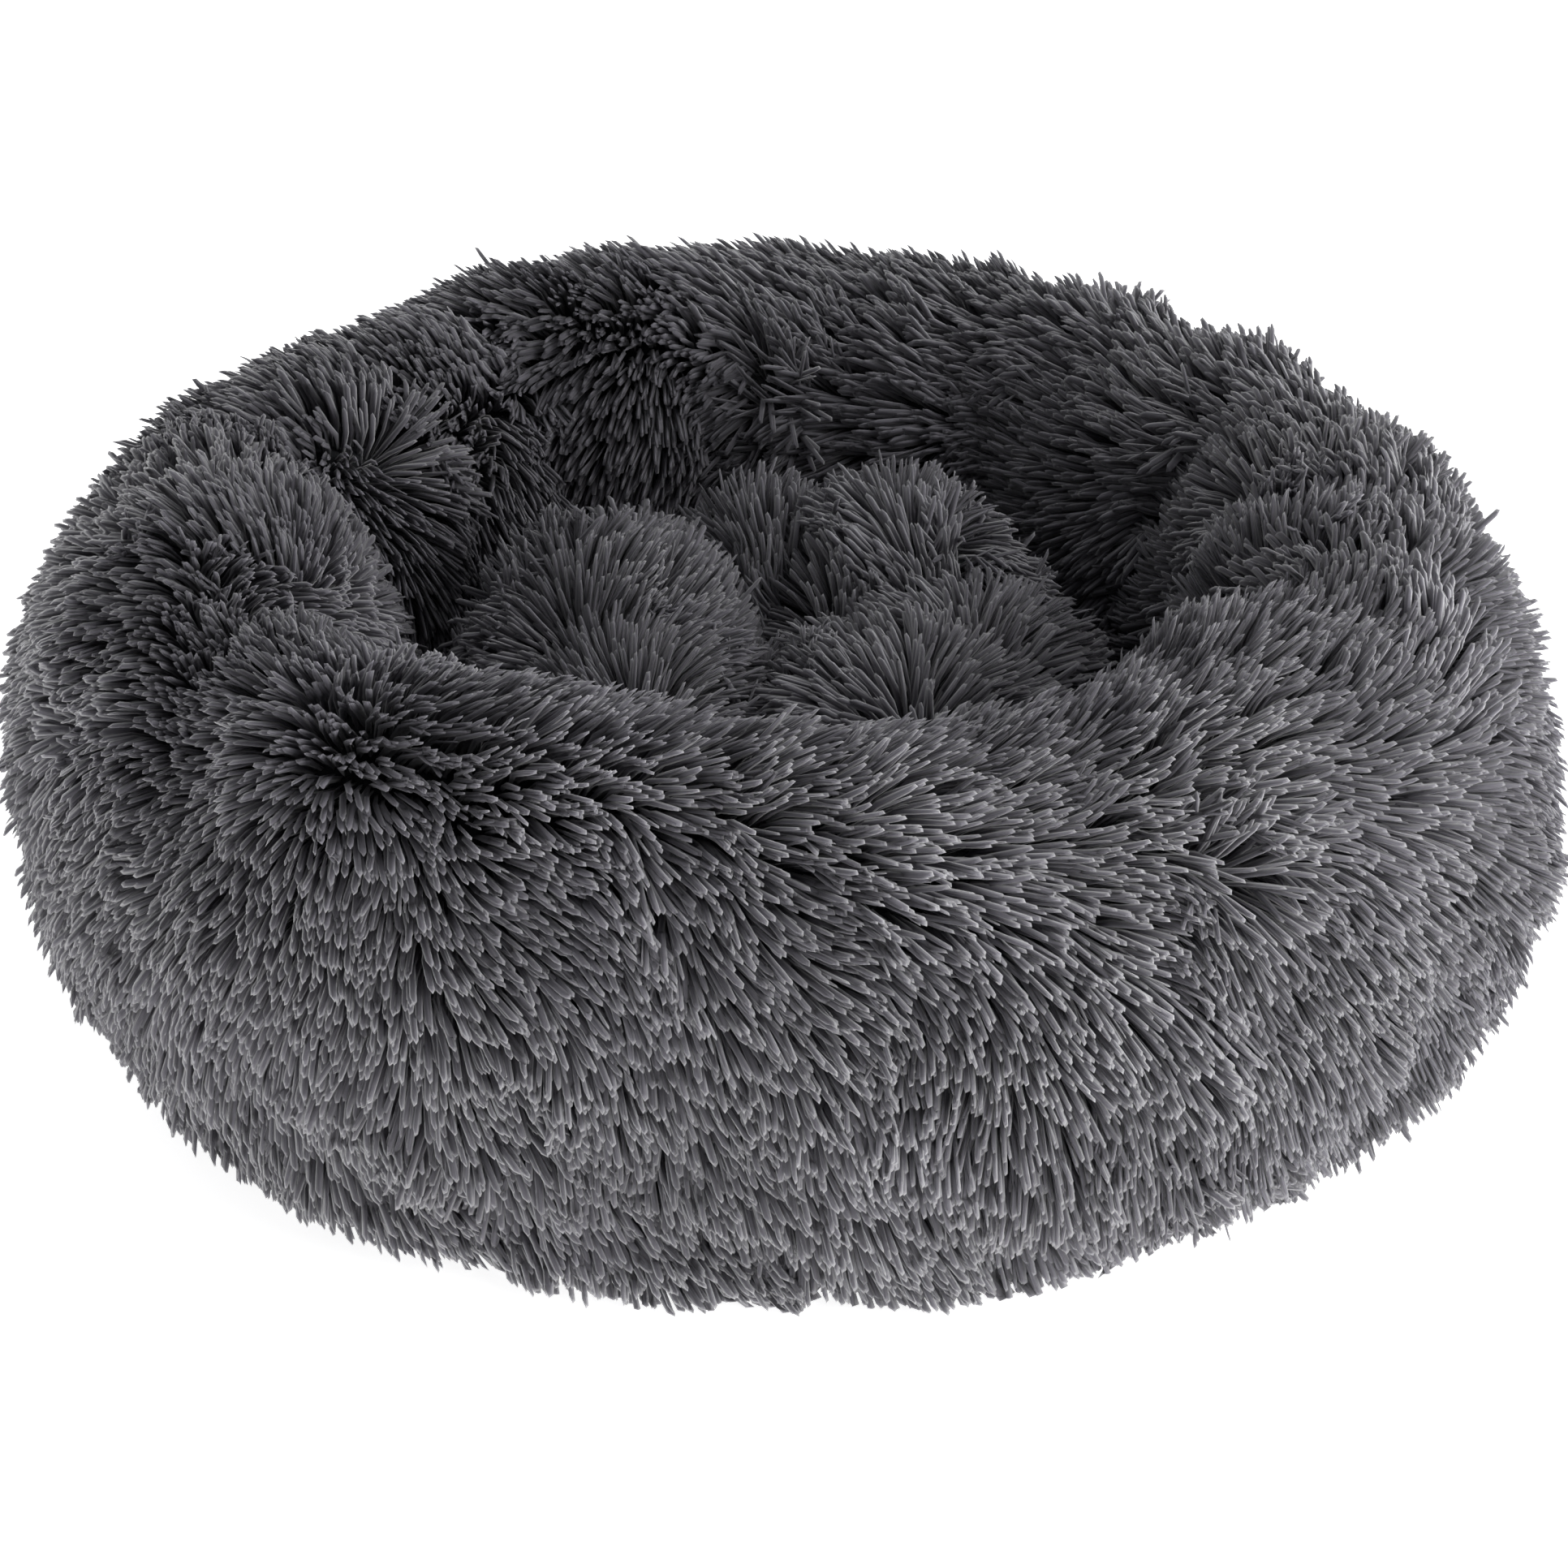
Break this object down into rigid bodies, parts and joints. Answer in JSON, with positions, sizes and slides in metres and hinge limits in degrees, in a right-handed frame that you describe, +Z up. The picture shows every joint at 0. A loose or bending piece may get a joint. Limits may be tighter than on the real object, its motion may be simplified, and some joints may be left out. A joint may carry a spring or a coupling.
{
  "type": "pet cushion bed",
  "caption": "Round pet bed: a stuffed ring of long-pile fur cloth round a loose tufted cushion, on a flat base cloth with a zip.",
  "frame": {"origin": "on the floor, under the middle of the bed", "axes": "+Z up, along the ring's axis; -Y towards the front of the bed; +X to its right seen from the front"},
  "size_m": [0.6, 0.6, 0.212],
  "materials": {
    "fur_cloth": "long soft pile in clumped locks, slate grey, lighter at the tips",
    "base_cloth": "coated plain weave with printed grip dots, matt black",
    "plain_cloth": "plain weave, dark grey",
    "lining_cloth": "thin white non-woven",
    "filling": "loose white polyester fibre",
    "zip_tape": "woven black tape",
    "zip_coil": "black nylon coil",
    "zip_metal": "zinc alloy, black lacquer",
    "tie_thread": "waxed twisted thread",
    "label_cloth": "blank white satin tape"
  },
  "bodies": {
    "nest": {"ring_cover_left": "fur_cloth", "ring_cover_right": "fur_cloth", "ring_lining": "lining_cloth", "ring_filling": "filling", "base_cloth": "base_cloth", "base_wadding": "filling", "floor_panel": "plain_cloth", "care_label": "label_cloth", "zip_tape_inner": "zip_tape", "zip_tape_outer": "zip_tape", "zip_coil_inner": "zip_coil", "zip_coil_outer": "zip_coil", "zip_closed_stops": "zip_metal", "zip_open_stop": "zip_metal"},
    "cushion": {"cushion_top_cover": "fur_cloth", "cushion_bottom_cover": "plain_cloth", "cushion_filling": "filling", "cushion_tie": "tie_thread", "cushion_tie_patch": "tie_thread"},
    "zip_slider": {"zip_slider_body": "zip_metal"},
    "zip_pull": {"zip_pull_tab": "zip_metal"}
  },
  "joints": [
    {"name": "cushion_lift", "type": "slide", "parent": "nest", "child": "cushion", "axis": [0, 0, 1], "range_m": [0, 0.22]},
    {"name": "zip_slide", "type": "hinge", "parent": "nest", "child": "zip_slider", "pos_m": [0, 0, 0], "axis": [0, 0, 1], "range_deg": [0, 166]},
    {"name": "pull_swing", "type": "hinge", "parent": "zip_slider", "child": "zip_pull", "pos_m": [0.222, 0, 0.0024], "axis": [-1, 0, 0], "range_deg": [0, 170]}
  ]
}
